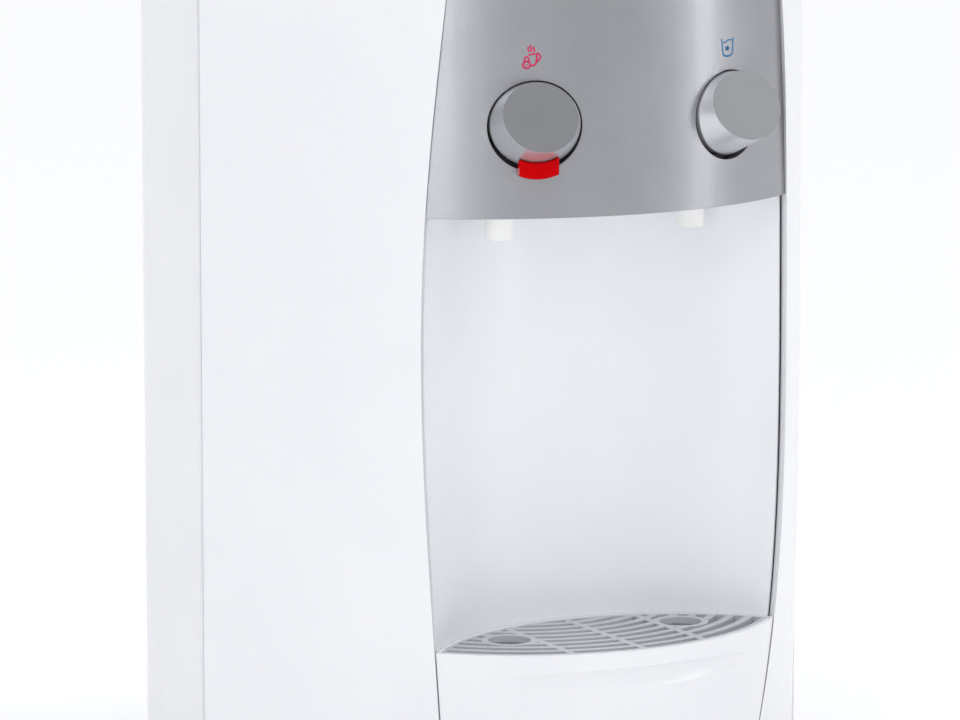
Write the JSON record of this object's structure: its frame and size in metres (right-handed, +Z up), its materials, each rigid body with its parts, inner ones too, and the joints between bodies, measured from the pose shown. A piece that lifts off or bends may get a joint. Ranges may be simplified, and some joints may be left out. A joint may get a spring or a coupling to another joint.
{
  "type": "countertop water dispenser",
  "caption": "Countertop dispenser with a bowed silver panel, push taps for hot and cold water over a curved alcove, a slide-out drip tray and an upturned-bottle seat.",
  "frame": {"origin": "under the middle of the base, on the surface that it stands on", "axes": "+Z up, -Y out of the front, +X to the right seen from the front"},
  "size_m": [0.31, 0.2556, 0.434],
  "materials": {
    "shell_white": "moulded ABS, soft gloss",
    "liner_white": "moulded ABS, satin",
    "panel_silver": "metallic silver lacquer on ABS",
    "button_silver": "metallic silver lacquer, satin",
    "lock_red": "translucent red polycarbonate",
    "tap_white": "food-grade polypropylene",
    "grille_grey": "moulded ABS, satin",
    "inner_black": "glass-filled nylon",
    "inner_natural": "natural polypropylene",
    "foam": "expanded polystyrene",
    "rubber_grey": "moulded rubber",
    "silicone": "clear silicone hose",
    "spring_steel": "drawn spring wire",
    "stainless": "deep-drawn stainless steel",
    "zinc_sheet": "galvanised sheet",
    "aluminium": "extruded and milled",
    "ceramic_white": "cooler module plates",
    "brass": "plated brass",
    "board_green": "glass epoxy laminate",
    "screw_zinc": "zinc plated"
  },
  "bodies": {
    "cabinet": {"front_cover": "shell_white", "rear_shell": "shell_white", "top_cover": "shell_white", "base_plate": "shell_white", "foot_left_front": "rubber_grey", "foot_left_back": "rubber_grey", "foot_right_front": "rubber_grey", "foot_right_back": "rubber_grey", "foot_screws": "screw_zinc", "case_screws": "screw_zinc", "control_panel": "panel_silver", "alcove_liner": "liner_white", "tap_deck": "liner_white", "tray_shelf": "liner_white", "bottle_probe": "inner_natural", "cold_tank": "stainless", "cold_tank_lid": "inner_natural", "cold_tank_insulation": "foam", "cold_block": "aluminium", "peltier_module": "ceramic_white", "heat_sink": "aluminium", "fan_housing": "inner_black", "hot_tank": "stainless", "heater_band": "stainless", "hot_tank_insulation": "foam", "hot_tank_stand": "zinc_sheet", "feed_tube": "silicone", "hot_tube": "silicone", "cold_tube": "silicone", "drain_tube": "silicone", "power_board": "board_green", "board_components": "inner_black", "board_stand": "zinc_sheet", "mains_inlet": "inner_black", "inlet_pins": "brass", "drain_spigot": "inner_natural", "tank_shelf": "zinc_sheet", "hot_button_guide": "inner_black", "hot_button_spring": "spring_steel", "hot_nozzle": "tap_white", "hot_valve": "inner_natural", "hot_switch_housing": "inner_black", "cold_button_guide": "inner_black", "cold_button_spring": "spring_steel", "cold_nozzle": "tap_white", "cold_valve": "inner_natural", "cold_switch_housing": "inner_black"},
    "hot_button": {"hot_button": "button_silver", "hot_button_push_rod": "inner_natural"},
    "cold_button": {"cold_button": "button_silver", "cold_button_push_rod": "inner_natural"},
    "child_lock": {"child_lock_tab": "lock_red"},
    "drip_tray": {"drip_tray": "shell_white"},
    "drip_grille": {"drip_grille": "grille_grey"},
    "bottle_collar": {"bottle_collar": "shell_white"},
    "hot_rocker": {"hot_switch_rocker": "inner_black"},
    "cold_rocker": {"cold_switch_rocker": "inner_black"},
    "fan_rotor": {"fan_rotor": "inner_black"},
    "drain_cap": {"drain_cap": "inner_black"}
  },
  "joints": [
    {"name": "hot_button_press", "type": "slide", "parent": "cabinet", "child": "hot_button", "axis": [0.3193, 0.9476, 0], "range_m": [0, 0.004], "stiffness_N_per_m": 350, "springref_m": -0.0005, "deforming": ["hot_button_spring"]},
    {"name": "cold_button_press", "type": "slide", "parent": "cabinet", "child": "cold_button", "axis": [-0.3193, 0.9476, 0], "range_m": [0, 0.004], "stiffness_N_per_m": 350, "springref_m": -0.0005, "deforming": ["cold_button_spring"]},
    {"name": "child_lock_slide", "type": "slide", "parent": "cabinet", "child": "child_lock", "axis": [0, 0, -1], "range_m": [0, 0.0015], "stiffness_N_per_m": 300, "springref_m": -0.0001},
    {"name": "drip_tray_slide", "type": "slide", "parent": "cabinet", "child": "drip_tray", "axis": [0, -1, 0], "range_m": [0, 0.09]},
    {"name": "drip_grille_lift", "type": "slide", "parent": "drip_tray", "child": "drip_grille", "axis": [0, 0, 1], "range_m": [0, 0.08]},
    {"name": "bottle_collar_lift", "type": "slide", "parent": "cabinet", "child": "bottle_collar", "axis": [0, 0, 1], "range_m": [0, 0.08]},
    {"name": "hot_switch_rock", "type": "hinge", "parent": "cabinet", "child": "hot_rocker", "pos_m": [-0.02, 0.1197, 0.086], "axis": [1, 0, 0], "range_deg": [0, 20]},
    {"name": "cold_switch_rock", "type": "hinge", "parent": "cabinet", "child": "cold_rocker", "pos_m": [0.02, 0.1197, 0.086], "axis": [1, 0, 0], "range_deg": [0, 20]},
    {"name": "fan_spin", "type": "hinge", "parent": "cabinet", "child": "fan_rotor", "pos_m": [0, 0.1157, 0.35], "axis": [0, 1, 0], "continuous": true},
    {"name": "drain_cap_pull", "type": "slide", "parent": "cabinet", "child": "drain_cap", "axis": [0, 1, 0], "range_m": [0, 0.015]}
  ]
}
